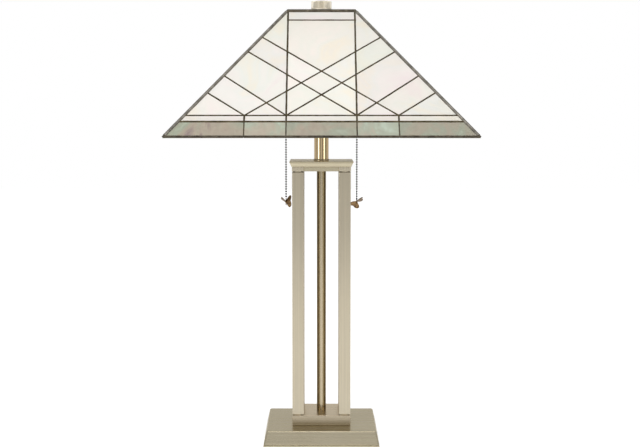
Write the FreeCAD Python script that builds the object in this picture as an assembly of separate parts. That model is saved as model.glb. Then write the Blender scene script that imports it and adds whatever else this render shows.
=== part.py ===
import FreeCAD
import Part
import math
import os

# A square mission table lamp with a leaded glass pyramid shade. Millimetres, +Z up.
# The origin is on the lamp's axis, at the face that stands on the table; -Y is the front.

# Base, from the table up
felt_high = 1.5
felt_inset = 1.0
plinth_side = 161.8
plinth_high = 12.0
plinth_wall = 2.5
skirt_high = 19.5
skirt_wall = 1.5
skirt_lean = 4.4
plinth_ledge = 0.0
weight_high = 14.0
weight_clear = 4.7
washer_r = 14.0
washer_high = 1.5
nut_across_flats = 19.0
nut_high = 4.0
rod_below_nut = 1.0

# Cord inlet at the back of the plinth
inlet_r = 3.2
bushing_r = 4.6
bushing_long = 12.0
bushing_flange_r = 5.4
bushing_flange_high = 1.2

# Pedestal and the two flat tubes that stand on it
pedestal_side = 82.2
pedestal_high = 14.5
pedestal_wall = 1.5
upright_wide = 16.6
upright_wall = 1.2
upright_long = 344.0
tenon_high = 8.0
tenon_clear = 0.2
reveal_high = 1.0
reveal_inset = 1.0

# Centre column
rod_r = 4.8
rod_wall = 1.5
rod_clear = 0.3
centre_tube_clear = 0.5
centre_tube_wall = 1.2
lead_r = 1.0

# Capital
cap_block_high = 6.5
cap_block_over = 0.2
rail_inset = 0.8
capital_foot_over = 0.90
capital_over = 3.65
capital_high = 7.5
capital_lip = 2.3

# Neck and cluster
neck_r = 10.25
neck_wall = 1.0
neck_ring_wide = 0.95
neck_ring_high = 2.0
neck_ring_clear = 0.1
neck_shows = 38.7
socket_above_rim = 33.8
cluster_r = 16.0
cluster_high = 32.0
cluster_wall = 4.0
nipple_inside = 5.0
riser_r = 3.15

# One lamp holder, whose axis runs out from the lamp's axis
shell_before_chain = 12.4
shell_after_chain = 25.6
shell_wall = 0.8
shell_clear = 1.4
socket_cap_long = 15.0
insulator_long = 17.0
insulator_clear = 0.5
screw_shell_wall = 0.8
screw_shell_short = 1.0
thread_r = 13.2
thread_clear = 0.3
bulb_clear = 1.2
bulb_cap_long = 21.0
bulb_r = 24.0
bulb_long = 88.0

# Pull switch and ball chain
chain_past_capital = 5.65
ball_r = 1.2
ball_pitch = 3.3
link_r = 0.35
mouth_long = 7.0
mouth_clear = 0.8
mouth_wall = 1.0
mouth_flare = 1.5
pull_balls = 5
pull_travel = 10.0
hang_balls = 31
pivot_below_mouth = 0.8
link_gap = 0.3

# Charm on each chain
wing_long = 10.5
wing_high = 8.0
wing_thick = 0.9
charm_body_r = 1.1
charm_body_high = 11.0
charm_fold = 32.0
charm_yaw = {"left": -24.0, "right": 26.0}
charm_drop = {"left": 0.0, "right": -1.5}

# Shade, measured on its outer surface
shade_low_side = 410.0
shade_top_side = 92.4
shade_high = 172.2
came_thick = 4.0
glass_thick = 3.0
line_wide = 2.4
hip_r = 2.4
low_rim_high = 3.2
top_rim_high = 5.6
rim_proud = 0.3

# Leading of one panel: distances from its middle line, and up the slope from its lower edge
inner_upright_line = 45.9
outer_upright_line = 100.3
band_line = 26.3
strip_line = 37.0
head_line = 212.8
diagonal_on_hip = [181.1, 153.8, 109.2, 78.5]

# Shade's fixing
cap_plate_thick = 1.2
cap_plate_below = 3.5
cap_plate_clear = 0.3
vent_r = 4.0
vent_circle_r = 25.0
vent_count = 8
collar_across_flats = 14.0
collar_high = 6.0
finial_washer_r = 11.0
finial_washer_high = 1.2
finial_r = 14.3
finial_flange_r = 14.6
finial_flange_high = 4.6
finial_high = 14.6
finial_flutes = 48
flute_deep = 0.55
finial_bore_deep = 10.6
running_fit = 0.05
hole_clear = 0.3

# Levels and lengths that follow from the sizes above
skirt_low_side = plinth_side - 2 * plinth_ledge
skirt_top_side = skirt_low_side - 2 * skirt_lean
weight_side = skirt_top_side - 2 * (skirt_wall + weight_clear)
rod_bore_r = rod_r - rod_wall
centre_tube_r = rod_r + centre_tube_clear + centre_tube_wall
capital_low_side = pedestal_side + 2 * capital_foot_over
capital_side = pedestal_side + 2 * capital_over
chain_x = capital_side / 2 + chain_past_capital
shell_start = chain_x - shell_before_chain
shell_end = chain_x + shell_after_chain
shell_r = thread_r + thread_clear + screw_shell_wall + shell_clear + shell_wall
socket_cap_start = shell_start - socket_cap_long
mouth_bore_r = ball_r + mouth_clear
plinth_z = felt_high
skirt_z = plinth_z + plinth_high
pedestal_z = skirt_z + skirt_high
pedestal_top = pedestal_z + pedestal_high
upright_z = pedestal_top + reveal_high
upright_top = upright_z + upright_long
block_z = upright_top + reveal_high
capital_z = block_z + cap_block_high
capital_top = capital_z + capital_high
shade_z = capital_top + neck_shows
shade_top = shade_z + shade_high
socket_z = shade_z + socket_above_rim
cluster_z = socket_z - cluster_high / 2
plinth_ceiling = skirt_z - plinth_wall
rod_bottom = plinth_ceiling - washer_high - nut_high - rod_below_nut
rod_top = cluster_z + cluster_wall + 2.0
mouth_bottom = socket_z - shell_r - mouth_long
pivot_z = mouth_bottom - pivot_below_mouth
cap_plate_z = shade_top - cap_plate_below
finial_z = cap_plate_z + cap_plate_thick + finial_washer_high
low_half = shade_low_side / 2
shade_run = low_half - shade_top_side / 2
slant = math.hypot(shade_run, shade_high)
slope_cos = shade_run / slant
slope_sin = shade_high / slant
upright_x = (pedestal_side - upright_wide) / 2

nodes = {}


def point(x, y, z):
    return FreeCAD.Vector(x, y, z)


def block(side_x, side_y, low, high, x=0.0, y=0.0):
    """A box standing between two heights, with its middle at x, y."""
    return Part.makeBox(side_x, side_y, high - low, point(x - side_x / 2, y - side_y / 2, low))


def rod(radius, low, high, x=0.0, y=0.0):
    return Part.makeCylinder(radius, high - low, point(x, y, low))


def tube(outer, inner, low, high):
    return rod(outer, low, high).cut(rod(inner, low, high))


def square_wire(side, z):
    h = side / 2
    corners = [point(-h, -h, z), point(h, -h, z), point(h, h, z), point(-h, h, z)]
    return Part.makePolygon(corners + corners[:1])


def frustum(low_side, top_side, low, high):
    """A square block whose four sides lean."""
    return Part.makeLoft([square_wire(low_side, low), square_wire(top_side, high)], True, True)


def turned(profile):
    """A solid of revolution about Z from its (radius, height) outline."""
    outline = [point(r, 0, z) for r, z in profile]
    face = Part.Face(Part.makePolygon(outline + outline[:1]))
    return face.revolve(point(0, 0, 0), point(0, 0, 1), 360)


def hexagon(across_flats, low, high):
    corner = across_flats / math.sqrt(3)
    ring = [point(corner * math.cos(math.radians(60 * i)), corner * math.sin(math.radians(60 * i)), low)
            for i in range(6)]
    return Part.Face(Part.makePolygon(ring + ring[:1])).extrude(point(0, 0, high - low))


def on_arm(shape, side):
    """Lays a solid made along +Z on the holder's axis, which runs out along X at the socket height."""
    turn = FreeCAD.Rotation(point(0, 1, 0), 90 * side)
    laid = shape.copy()
    laid.Placement = FreeCAD.Placement(point(0, 0, socket_z), turn).multiply(shape.Placement)
    return laid


def group(solids):
    return Part.makeCompound(solids)


def make_base():
    nodes["felt_pad"] = block(plinth_side - 2 * felt_inset, plinth_side - 2 * felt_inset, 0, felt_high)
    back = plinth_side / 2
    bushing_start = back - bushing_long
    inlet_z = plinth_z + plinth_high / 2

    def along_y(radius, start, end):
        return Part.makeCylinder(radius, end - start, point(0, start, inlet_z), point(0, 1, 0))

    inside = plinth_side - 2 * plinth_wall
    plinth = block(plinth_side, plinth_side, plinth_z, skirt_z)
    plinth = plinth.cut(block(inside, inside, plinth_z, plinth_ceiling))
    plinth = plinth.cut(rod(rod_r + rod_clear, plinth_ceiling, skirt_z))
    nodes["base_plinth"] = plinth.cut(along_y(bushing_r, bushing_start, back))
    bushing = along_y(bushing_r, bushing_start, back)
    bushing = bushing.fuse(along_y(bushing_flange_r, back, back + bushing_flange_high))
    nodes["cord_bushing"] = bushing.cut(along_y(inlet_r, bushing_start, back + bushing_flange_high))
    skirt = frustum(skirt_low_side, skirt_top_side, skirt_z, pedestal_z)
    hollow = frustum(skirt_low_side - 2 * skirt_wall, skirt_top_side - 2 * skirt_wall, skirt_z, pedestal_z)
    hollow = hollow.common(block(skirt_low_side, skirt_low_side, skirt_z, pedestal_z - skirt_wall))
    skirt = skirt.cut(hollow).cut(rod(rod_r + rod_clear, skirt_z, pedestal_z))
    nodes["base_skirt"] = skirt
    weight = block(weight_side, weight_side, skirt_z, skirt_z + weight_high)
    nodes["base_weight"] = weight.cut(rod(rod_r + 3 * rod_clear, skirt_z, skirt_z + weight_high))
    washer_z = plinth_ceiling - washer_high
    nut_z = washer_z - nut_high
    nodes["base_washer"] = tube(washer_r, rod_r + rod_clear, washer_z, plinth_ceiling)
    nodes["base_nut"] = hexagon(nut_across_flats, nut_z, washer_z).cut(rod(rod_r, nut_z, washer_z))


def make_column():
    inner_wide = upright_wide - 2 * upright_wall
    inner_deep = pedestal_side - 2 * upright_wall
    tenon_wide = inner_wide - 2 * tenon_clear
    tenon_deep = inner_deep - 2 * tenon_clear
    pad_wide = upright_wide - 2 * reveal_inset
    pad_deep = pedestal_side - 2 * reveal_inset
    pedestal = block(pedestal_side, pedestal_side, pedestal_z, pedestal_top)
    inside = pedestal_side - 2 * pedestal_wall
    pedestal = pedestal.cut(block(inside, inside, pedestal_z, pedestal_top - pedestal_wall))
    blocks = []
    for side, name in ((-1, "upright_left"), (1, "upright_right")):
        x = side * upright_x
        pad = block(pad_wide, pad_deep, pedestal_top, upright_z, x)
        tenon = block(tenon_wide, tenon_deep, pedestal_top, upright_z + tenon_high, x)
        pedestal = pedestal.fuse(pad).fuse(tenon)
        shell = block(upright_wide, pedestal_side, upright_z, upright_top, x)
        nodes[name] = shell.cut(block(inner_wide, inner_deep, upright_z, upright_top, x))
        cap = block(upright_wide + cap_block_over, pedestal_side + 2 * cap_block_over, block_z, capital_z,
                    x + side * cap_block_over / 2)
        cap = cap.fuse(block(pad_wide, pad_deep, upright_top, block_z, x))
        blocks.append(cap.fuse(block(tenon_wide, tenon_deep, upright_top - tenon_high, block_z, x)))
    nodes["pedestal_block"] = pedestal.cut(rod(rod_r + rod_clear, pedestal_z, pedestal_top)).removeSplitter()
    nodes["cap_blocks"] = group([b.removeSplitter() for b in blocks])
    between = pedestal_side - 2 * upright_wide
    rail = block(between, pedestal_side - 2 * rail_inset, block_z, capital_z)
    nodes["cross_rail"] = rail.cut(rod(rod_r + rod_clear, block_z, capital_z))
    nodes["centre_tube"] = tube(centre_tube_r, centre_tube_r - centre_tube_wall, pedestal_top, block_z)
    nodes["lamp_rod"] = tube(rod_r, rod_bore_r, rod_bottom, rod_top)


def make_capital():
    lip_z = capital_top - capital_lip
    plate = frustum(capital_low_side, capital_side - 2 * rail_inset, capital_z, lip_z)
    plate = plate.fuse(block(capital_side, capital_side, lip_z, capital_top))
    nodes["capital_plate"] = plate.cut(rod(rod_r + rod_clear, capital_z, capital_top)).removeSplitter()
    ring_top = capital_top + neck_ring_high
    ring_bore_r = neck_r + neck_ring_clear
    nodes["neck_ring"] = tube(ring_bore_r + neck_ring_wide, ring_bore_r, capital_top, ring_top)
    nodes["neck_tube"] = tube(neck_r, neck_r - neck_wall, capital_top, cluster_z)


def make_cluster():
    top = cluster_z + cluster_high
    body = rod(cluster_r, cluster_z, top)
    body = body.makeChamfer(cluster_wall / 2, [e for e in body.Edges if len(e.Vertexes) == 1 and e.Length > 1])
    body = body.cut(rod(cluster_r - cluster_wall, cluster_z + cluster_wall, top - cluster_wall))
    body = body.cut(rod(rod_r, cluster_z, socket_z)).cut(rod(riser_r, socket_z, top))
    for side in (-1, 1):
        body = body.cut(on_arm(rod(rod_r, 0, cluster_r + 1), side))
    nodes["cluster_body"] = body
    nipple = tube(rod_r, rod_bore_r, cluster_r - nipple_inside, socket_cap_start + cluster_wall)
    nodes["arm_nipples"] = group([on_arm(nipple, side) for side in (-1, 1)])
    nodes["riser_rod"] = rod(riser_r, top - cluster_wall - 2, finial_z + finial_bore_deep - 0.6)
    collar = hexagon(collar_across_flats, cap_plate_z - collar_high, cap_plate_z)
    nodes["riser_collar"] = collar.cut(rod(riser_r, cap_plate_z - collar_high, cap_plate_z))


def make_lead(side):
    """One insulated lead: up the rod, round a bend, and out along the arm into the lamp holder."""
    bend = 5.0
    x = side * (rod_bore_r - lead_r - hole_clear)
    start = point(x, 0, rod_bottom)
    up_end = point(x, 0, socket_z - bend)
    out_start = point(x + side * bend, 0, socket_z)
    half = bend * (1 - math.sqrt(0.5))
    corner = point(x + side * half, 0, socket_z - half)
    path = Part.Wire([Part.LineSegment(start, up_end).toShape(),
                      Part.Arc(up_end, corner, out_start).toShape(),
                      Part.LineSegment(out_start, point(side * (shell_start - 1), 0, socket_z)).toShape()])
    section = Part.Wire([Part.Circle(start, point(0, 0, 1), lead_r).toShape()])
    return path.makePipeShell([section], True, False)


def make_socket(side, name):
    inner_r = shell_r - shell_wall
    cap = turned([(rod_r, socket_cap_start), (rod_r + 3, socket_cap_start), (shell_r - 3.5, socket_cap_start + 5),
                  (shell_r - 1, shell_start - 5), (shell_r, shell_start - 3.5), (shell_r, shell_start),
                  (inner_r, shell_start), (inner_r, shell_start - 3), (shell_r - 5, socket_cap_start + 6.5),
                  (rod_r, socket_cap_start + 3)])
    nodes["socket_cap_" + name] = on_arm(cap, side)
    insulator_start = shell_start + 1
    insulator_end = insulator_start + insulator_long
    mouth_r = mouth_bore_r + mouth_wall
    well = rod(mouth_bore_r + 0.4, mouth_bottom, pivot_z + ball_pitch * (pull_balls + 0.5), side * chain_x)
    shell = on_arm(tube(shell_r, inner_r, shell_start, shell_end), side)
    shell = shell.cut(rod(mouth_r, mouth_bottom, socket_z - inner_r / 2, side * chain_x))
    nodes["socket_shell_" + name] = shell
    insulator = on_arm(rod(inner_r - insulator_clear, insulator_start, insulator_end), side)
    insulator = insulator.cut(well)
    nodes["socket_insulator_" + name] = insulator
    screw_r = thread_r + thread_clear
    screw_end = shell_end - screw_shell_short
    screw = rod(screw_r + screw_shell_wall, insulator_end, screw_end)
    screw = screw.cut(rod(screw_r, insulator_end + screw_shell_wall, screw_end))
    nodes["screw_shell_" + name] = on_arm(screw, side)
    mouth_top = socket_z - inner_r + 0.4
    mouth = turned([(mouth_bore_r, mouth_top), (mouth_r, mouth_top), (mouth_r, mouth_bottom + 2.2),
                    (mouth_r + mouth_flare, mouth_bottom + 0.6), (mouth_r + mouth_flare, mouth_bottom),
                    (mouth_r, mouth_bottom), (mouth_bore_r, mouth_bottom + 1)])
    mouth.translate(point(side * chain_x, 0, 0))
    nodes["switch_mouth_" + name] = mouth
    tip = insulator_end + screw_shell_wall + bulb_clear
    cap_end = tip + bulb_cap_long
    nodes["bulb_cap_" + name] = on_arm(turned([(0, tip), (4.5, tip), (thread_r - 2.5, tip + 3.5),
                                               (thread_r, tip + 4.5), (thread_r, cap_end), (0, cap_end)]), side)
    nodes["bulb_" + name] = on_arm(bulb_glass(cap_end, tip + bulb_long), side)


def bulb_glass(start, end):
    """A round bulb with a conical neck, turned about Z between two lengths."""
    centre = end - bulb_r
    neck_r_here = thread_r - 0.6
    meet = math.radians(35)
    touch = point(bulb_r * math.cos(meet), 0, centre - bulb_r * math.sin(meet))
    middle = point(bulb_r * math.cos(meet / 2), 0, centre + bulb_r * math.sin(meet / 2))
    edges = [Part.LineSegment(point(0, 0, start), point(neck_r_here, 0, start)).toShape(),
             Part.LineSegment(point(neck_r_here, 0, start), point(neck_r_here, 0, start + 4)).toShape(),
             Part.LineSegment(point(neck_r_here, 0, start + 4), touch).toShape(),
             Part.Arc(touch, middle, point(0, 0, end)).toShape(),
             Part.LineSegment(point(0, 0, end), point(0, 0, start)).toShape()]
    return Part.Face(Part.Wire(edges)).revolve(point(0, 0, 0), point(0, 0, 1), 360)


def ball_run(count, first_z, step, link_end_z):
    """Balls on one line of links, with the line's free end at link_end_z."""
    last_z = first_z + step * (count - 1)
    balls = [Part.makeSphere(ball_r, point(0, 0, first_z + step * i)) for i in range(count)]
    low, high = sorted((last_z, link_end_z))
    return rod(link_r, low, high).multiFuse(balls)


def wing(long, high):
    """One rounded wing in the XZ plane, growing out of the charm's body at x = 0."""
    root = point(0, 0, 0)
    crown = point(long * 0.62, 0, high)
    edge = point(long, 0, high * 0.62)
    under = point(long * 0.55, 0, high * 0.05)
    outline = Part.Wire([Part.LineSegment(root, crown).toShape(),
                         Part.Arc(crown, point(long * 0.9, 0, high * 0.92), edge).toShape(),
                         Part.Arc(edge, point(long * 0.86, 0, high * 0.22), under).toShape(),
                         Part.LineSegment(under, root).toShape()])
    plate = Part.Face(outline).extrude(point(0, wing_thick, 0))
    plate.translate(point(0, -wing_thick / 2, 0))
    return plate


def make_charm(name, top_z):
    body = rod(charm_body_r, top_z - charm_body_high, top_z)
    middle = top_z - charm_body_high * 0.45
    pieces = []
    for hand in (-1, 1):
        for upward, size in ((1, 1.0), (-1, 0.86)):
            plate = wing(wing_long * size, wing_high * size)
            if upward < 0:
                plate = plate.mirror(point(0, 0, 0), point(0, 0, 1))
            if hand < 0:
                plate = plate.mirror(point(0, 0, 0), point(1, 0, 0))
            plate.rotate(point(0, 0, 0), point(0, 0, 1), -hand * charm_fold + charm_yaw[name])
            plate.translate(point(0, 0, middle))
            pieces.append(plate)
    return body.multiFuse(pieces)


def make_chain(side, name):
    x = point(side * chain_x, 0, 0)
    half = ball_pitch / 2
    pull = ball_run(pull_balls, pivot_z + half, ball_pitch, pivot_z + link_gap / 2)
    hang = ball_run(hang_balls, pivot_z - half, -ball_pitch, pivot_z - link_gap / 2)
    charm_top = pivot_z - half - ball_pitch * (hang_balls - 1) - ball_r + charm_drop[name]
    if charm_drop[name] < 0:
        hang = hang.fuse(rod(link_r, charm_top, charm_top - charm_drop[name] + ball_r))
    charm = make_charm(name, charm_top)
    for node, shape in (("pull_chain_", pull), ("hang_chain_", hang), ("charm_", charm)):
        shape.translate(x)
        nodes[node + name] = shape


def on_panel(shape):
    """Puts a shape drawn flat (across, up the slope, outward) on the shade's front slope."""
    lean = FreeCAD.Rotation(point(1, 0, 0), math.degrees(math.atan2(slope_sin, slope_cos)))
    placed = shape.copy()
    placed.Placement = FreeCAD.Placement(point(0, -low_half, shade_z), lean).multiply(shape.Placement)
    return placed


def half_width(up):
    return low_half - slope_cos * up


def flat_bar(start, end, wide):
    """A bar through the came's full thickness along the line from start to end, past both ends."""
    (x0, y0), (x1, y1) = start, end
    long = math.hypot(x1 - x0, y1 - y0)
    over = wide / 2
    bar = Part.makeBox(long + 2 * over, wide, came_thick, point(-over, -wide / 2, -came_thick))
    bar.Placement = FreeCAD.Placement(point(x0, y0, 0), FreeCAD.Rotation(
        point(0, 0, 1), math.degrees(math.atan2(y1 - y0, x1 - x0))))
    return bar


def leading_lines():
    lines = []
    feet = [outer_upright_line, inner_upright_line, -inner_upright_line, -outer_upright_line]
    for side in (-1, 1):
        lines.append(((side * inner_upright_line, 0), (side * inner_upright_line, slant)))
        lines.append(((side * outer_upright_line, 0), (side * outer_upright_line, strip_line)))
        for up, foot in zip(diagonal_on_hip, feet):
            lines.append(((side * half_width(up), up), (-side * foot, strip_line)))
    for up in (band_line, strip_line):
        lines.append(((-half_width(up), up), (half_width(up), up)))
    lines.append(((-inner_upright_line, head_line), (inner_upright_line, head_line)))
    return lines


def slab(up0, up1, low, high):
    """The front panel's trapezoid between two distances up the slope and two depths, mitred at the hips."""
    over = high + rim_proud
    corners = [point(-half_width(up0) - over, up0, low), point(half_width(up0) + over, up0, low),
               point(half_width(up1) + over, up1, low), point(-half_width(up1) - over, up1, low)]
    flat = Part.Face(Part.makePolygon(corners + corners[:1])).extrude(point(0, 0, high - low))
    reach = shade_low_side
    wedge = Part.Face(Part.makePolygon([point(0, 0, 0), point(-reach, -reach, 0), point(reach, -reach, 0),
                                        point(0, 0, 0)])).extrude(point(0, 0, 2 * shade_top))
    return on_panel(flat).common(wedge)


def largest(shape):
    return max(shape.Solids, key=lambda s: s.Volume)


def hip_rod():
    """The round came on the front right hip, whose line lies at the middle of the came's thickness."""
    inward = came_thick / 2 / slope_sin
    low = low_half - inward
    top = shade_top_side / 2 - inward
    start = point(low, -low, shade_z)
    end = point(top, -top, shade_top)
    return Part.makeCylinder(hip_r, start.distanceToPoint(end), start, end - start)


def turned_copy(shape, quarter):
    copy = shape.copy()
    copy.rotate(point(0, 0, 0), point(0, 0, 1), 90 * quarter)
    return copy


def make_shade():
    low_rim = slab(-rim_proud, low_rim_high, -came_thick - rim_proud, rim_proud)
    top_rim = slab(slant - top_rim_high, slant + rim_proud, -came_thick - rim_proud, rim_proud)
    top_rim = top_rim.common(block(shade_low_side, shade_low_side, 0, shade_top))
    rims = [turned_copy(r, q) for q in range(4) for r in (low_rim, top_rim)]
    hip = hip_rod()
    for rim in rims:
        hip = hip.cut(rim)
    hip = largest(hip)
    hips = [turned_copy(hip, q) for q in range(4)]
    edge = [low_rim, top_rim, hips[0], hips[3]]
    bars = [on_panel(flat_bar(start, end, line_wide)) for start, end in leading_lines()]
    net = bars[0].multiFuse(bars[1:]).common(slab(0, slant, -came_thick, 0)).cut(group(edge))
    inset = (came_thick - glass_thick) / 2
    glass = slab(0, slant, -came_thick + inset, -inset).cut(bars + edge)
    field, border = [], []
    for pane in glass.Solids:
        up = (pane.CenterOfMass.z - shade_z) / slope_sin
        (border if up < strip_line else field).append(pane)
    print("front panel:", len(field), "field panes and", len(border), "border panes")
    for quarter, name in enumerate(("front", "right", "back", "left")):
        nodes["came_net_" + name] = turned_copy(largest(net), quarter)
        nodes["field_glass_" + name] = group([turned_copy(p, quarter) for p in field])
        nodes["border_glass_" + name] = group([turned_copy(p, quarter) for p in border])
    nodes["hip_cames"] = group(hips)
    nodes["low_rim"] = group([turned_copy(low_rim, q) for q in range(4)])
    nodes["top_rim"] = group([turned_copy(top_rim, q) for q in range(4)])


def make_shade_fixing():
    plate_top = cap_plate_z + cap_plate_thick
    rim_corner_z = shade_top + rim_proud * slope_sin - (came_thick + rim_proud) * slope_cos
    below = shade_top - min(plate_top, rim_corner_z)
    rim_inner = shade_top_side / 2 + below * slope_cos / slope_sin - (came_thick + rim_proud) / slope_sin
    plate = block(2 * (rim_inner - cap_plate_clear), 2 * (rim_inner - cap_plate_clear), cap_plate_z, plate_top)
    plate = plate.cut(rod(riser_r + hole_clear, cap_plate_z, plate_top))
    for i in range(vent_count):
        turn = 2 * math.pi * i / vent_count
        plate = plate.cut(rod(vent_r, cap_plate_z, plate_top,
                              vent_circle_r * math.cos(turn), vent_circle_r * math.sin(turn)))
    nodes["shade_cap"] = plate
    nodes["finial_washer"] = tube(finial_washer_r, riser_r + hole_clear, plate_top, finial_z)
    drum_z = finial_z + finial_flange_high
    top = finial_z + finial_high
    star = []
    for i in range(2 * finial_flutes):
        r = finial_r - flute_deep * (i % 2)
        turn = math.pi * i / finial_flutes
        star.append(point(r * math.cos(turn), r * math.sin(turn), drum_z))
    drum = Part.Face(Part.makePolygon(star + star[:1])).extrude(point(0, 0, top - drum_z))
    crown = Part.makeCone(finial_r + 1.0, finial_r - 1.0, 2.0, point(0, 0, top - 2.0))
    crown = crown.fuse(rod(finial_r + 1.0, drum_z, top - 2.0))
    finial = drum.common(crown).fuse(rod(finial_flange_r, finial_z, drum_z))
    nodes["finial"] = finial.cut(rod(riser_r + running_fit, finial_z, finial_z + finial_bore_deep))


make_base()
make_column()
make_capital()
make_cluster()
nodes["lamp_leads"] = group([make_lead(-1), make_lead(1)])
for hand, word in ((-1, "left"), (1, "right")):
    make_socket(hand, word)
    make_chain(hand, word)
make_shade()
make_shade_fixing()

os.makedirs("parts", exist_ok=True)
for node, shape in nodes.items():
    shape.exportStep("parts/" + node + ".step")
print(len(nodes), "nodes")
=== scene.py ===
import bpy
import bmesh
import math
import random
from mathutils import Matrix, Vector, noise


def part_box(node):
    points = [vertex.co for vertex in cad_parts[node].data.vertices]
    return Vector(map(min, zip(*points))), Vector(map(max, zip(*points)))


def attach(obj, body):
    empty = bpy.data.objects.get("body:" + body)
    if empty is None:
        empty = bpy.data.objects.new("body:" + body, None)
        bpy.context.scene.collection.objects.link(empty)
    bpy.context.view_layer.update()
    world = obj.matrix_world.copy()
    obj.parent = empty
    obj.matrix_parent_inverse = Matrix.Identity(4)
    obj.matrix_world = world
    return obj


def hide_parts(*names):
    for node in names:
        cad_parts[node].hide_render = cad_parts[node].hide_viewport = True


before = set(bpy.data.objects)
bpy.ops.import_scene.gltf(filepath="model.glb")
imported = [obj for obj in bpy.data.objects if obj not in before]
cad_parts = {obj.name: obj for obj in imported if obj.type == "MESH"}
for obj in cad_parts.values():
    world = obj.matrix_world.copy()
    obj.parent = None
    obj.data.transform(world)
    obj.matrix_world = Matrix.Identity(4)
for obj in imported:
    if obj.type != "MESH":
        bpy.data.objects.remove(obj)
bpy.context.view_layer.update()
scene = bpy.context.scene
print("frame loaded:", len(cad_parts), "nodes")


# Shared helpers: colours, node trees and finished pieces

def tone(red, green, blue):  # a screen colour, 0 to 255, as the linear colour that shaders take
    def linear(value):
        share = value / 255
        return share / 12.92 if share <= 0.04045 else ((share + 0.055) / 1.055) ** 2.4
    return (linear(red), linear(green), linear(blue), 1.0)


def newMaterial(name):
    material = bpy.data.materials.new(name)
    material.use_nodes = True
    tree = material.node_tree
    return material, tree, tree.nodes["Principled BSDF"]


def setSockets(shader, **values):  # fixed values go straight on the shader's own sockets
    names = {"metallic": "Metallic", "roughness": "Roughness", "coat": "Coat Weight",
             "coatRoughness": "Coat Roughness", "ior": "IOR", "specular": "Specular IOR Level",
             "sheen": "Sheen Weight", "subsurface": "Subsurface Weight",
             "subsurfaceScale": "Subsurface Scale", "edgeTint": "Specular Tint"}
    for key, value in values.items():
        shader.inputs[names[key]].default_value = value


def noiseOn(tree, stretch, detail=3.0, distortion=0.0):  # on Object coordinates, finer for a larger stretch
    place = tree.nodes.new("ShaderNodeTexCoord")
    mapping = tree.nodes.new("ShaderNodeMapping")
    mapping.inputs["Scale"].default_value = stretch
    field = tree.nodes.new("ShaderNodeTexNoise")
    field.inputs["Scale"].default_value = 1.0
    field.inputs["Detail"].default_value = detail
    field.inputs["Distortion"].default_value = distortion
    tree.links.new(place.outputs["Object"], mapping.inputs["Vector"])
    tree.links.new(mapping.outputs["Vector"], field.inputs["Vector"])
    return field.outputs["Fac"]


def rampOn(tree, source, stops):
    ramp = tree.nodes.new("ShaderNodeValToRGB")
    ramp.color_ramp.elements[0].position = stops[0][0]
    ramp.color_ramp.elements[0].color = stops[0][1]
    ramp.color_ramp.elements[1].position = stops[-1][0]
    ramp.color_ramp.elements[1].color = stops[-1][1]
    for position, colour in stops[1:-1]:
        ramp.color_ramp.elements.new(position).color = colour
    tree.links.new(source, ramp.inputs["Fac"])
    return ramp.outputs["Color"]


def mixColours(tree, share, first, second, blend="MIX"):
    mix = tree.nodes.new("ShaderNodeMix")
    mix.data_type = "RGBA"
    mix.blend_type = blend
    for socket, value in ((mix.inputs[0], share), (mix.inputs[6], first), (mix.inputs[7], second)):
        if isinstance(value, bpy.types.NodeSocket):
            tree.links.new(value, socket)
        else:
            socket.default_value = value
    return mix.outputs[2]


noiseLow, noiseHigh = 0.3, 0.7  # most of a noise pattern lies between these


def twoTones(tree, source, dark, light):
    return rampOn(tree, source, [(noiseLow, dark), (noiseHigh, light)])


def rangeOn(tree, source, low, high, start=noiseLow, end=noiseHigh):
    spread = tree.nodes.new("ShaderNodeMapRange")
    for socket, value in (("From Min", start), ("From Max", end), ("To Min", low), ("To Max", high)):
        spread.inputs[socket].default_value = value
    tree.links.new(source, spread.inputs["Value"])
    return spread.outputs["Result"]


def bumpOn(tree, shader, source, strength, distance):
    bump = tree.nodes.new("ShaderNodeBump")
    bump.inputs["Strength"].default_value = strength
    bump.inputs["Distance"].default_value = distance
    tree.links.new(source, bump.inputs["Height"])
    tree.links.new(bump.outputs["Normal"], shader.inputs["Normal"])


def dress(tree, shader, colour, gloss):
    tree.links.new(colour, shader.inputs["Base Color"])
    tree.links.new(gloss, shader.inputs["Roughness"])


def finishPiece(name, bm, material, body, nodes, sharp=32):
    mesh = bpy.data.meshes.new(name)
    bm.to_mesh(mesh)
    bm.free()
    for face in mesh.polygons:
        face.use_smooth = True
    mesh.set_sharp_from_angle(angle=math.radians(sharp))
    mesh.materials.append(material)
    piece = bpy.data.objects.new(name, mesh)
    scene.collection.objects.link(piece)
    flatter = piece.modifiers.new("flatFaces", "WEIGHTED_NORMAL")  # broad faces stay flat beside rounded edges
    flatter.keep_sharp = True
    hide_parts(*nodes)
    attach(piece, body)
    return piece


# Shared shaping: blocks, stacks of square rings, turned pieces

def edgesOf(verts):  # each edge once, in a fixed order
    return list(dict.fromkeys(edge for vert in verts for edge in vert.link_edges))


def bevelEdges(bm, edges, width, segments=3):
    bmesh.ops.bevel(bm, geom=edges, offset=width, offset_type="OFFSET", segments=segments, profile=0.5,
                    affect="EDGES", material=-1, clamp_overlap=True)


def addBlock(bm, low, high, bevel, segments=3):
    size = Vector(high) - Vector(low)
    middle = (Vector(high) + Vector(low)) / 2
    place = Matrix.Translation(middle) @ Matrix.Diagonal((*size, 1))
    made = bmesh.ops.create_cube(bm, size=1.0, matrix=place)
    bevelEdges(bm, edgesOf(made["verts"]), bevel, segments)


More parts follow.
